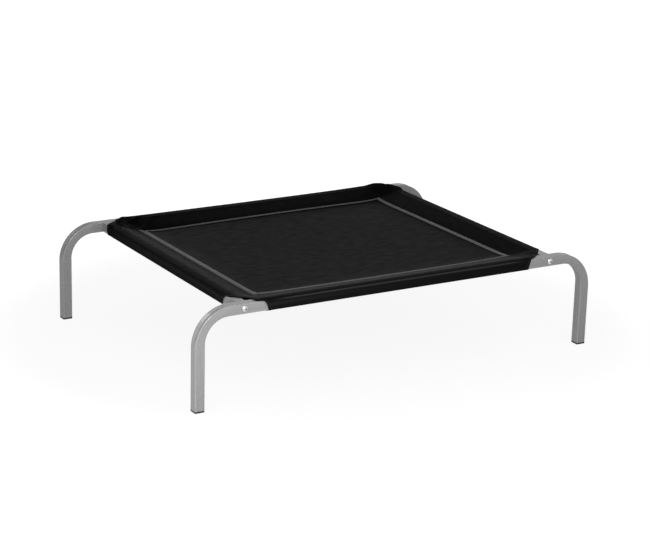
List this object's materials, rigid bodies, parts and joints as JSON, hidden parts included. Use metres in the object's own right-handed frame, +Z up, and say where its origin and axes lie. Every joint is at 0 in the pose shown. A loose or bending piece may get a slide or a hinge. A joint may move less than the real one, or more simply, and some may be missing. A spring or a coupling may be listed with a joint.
{
  "type": "raised dog cot",
  "caption": "Raised dog cot: bolted square-tube steel frame on bent legs, with a stretched woven sleeping panel sewn to sleeves round the rails.",
  "frame": {"origin": "on the floor, under the centre of the cot", "axes": "+X along the long side, +Y from the front to the rear, +Z up"},
  "size_m": [0.9, 0.6366, 0.2008],
  "materials": {
    "frame_tube": "satin silver-grey powder coat",
    "corner_bolt": "bright zinc plate",
    "end_plug": "plain steel",
    "foot_cap": "moulded black",
    "sleeping_panel": "coarse plain weave",
    "sleeve": "close-woven black cloth",
    "seam_tape": "grey woven tape"
  },
  "bodies": {
    "root": {"leg_front_left": "frame_tube", "leg_front_right": "frame_tube", "leg_rear_left": "frame_tube", "leg_rear_right": "frame_tube", "side_rail_front": "frame_tube", "side_rail_rear": "frame_tube", "cross_rail_left": "frame_tube", "cross_rail_right": "frame_tube", "end_plug_front_left": "end_plug", "end_plug_front_right": "end_plug", "end_plug_rear_left": "end_plug", "end_plug_rear_right": "end_plug", "corner_bolt_front_left": "corner_bolt", "corner_bolt_front_right": "corner_bolt", "corner_bolt_rear_left": "corner_bolt", "corner_bolt_rear_right": "corner_bolt", "foot_cap_front_left": "foot_cap", "foot_cap_front_right": "foot_cap", "foot_cap_rear_left": "foot_cap", "foot_cap_rear_right": "foot_cap", "sleeping_panel": "sleeping_panel", "sleeve_front": "sleeve", "sleeve_rear": "sleeve", "sleeve_left": "sleeve", "sleeve_right": "sleeve", "seam_tape_front": "seam_tape", "seam_tape_rear": "seam_tape", "seam_tape_left": "seam_tape", "seam_tape_right": "seam_tape"}
  },
  "joints": []
}
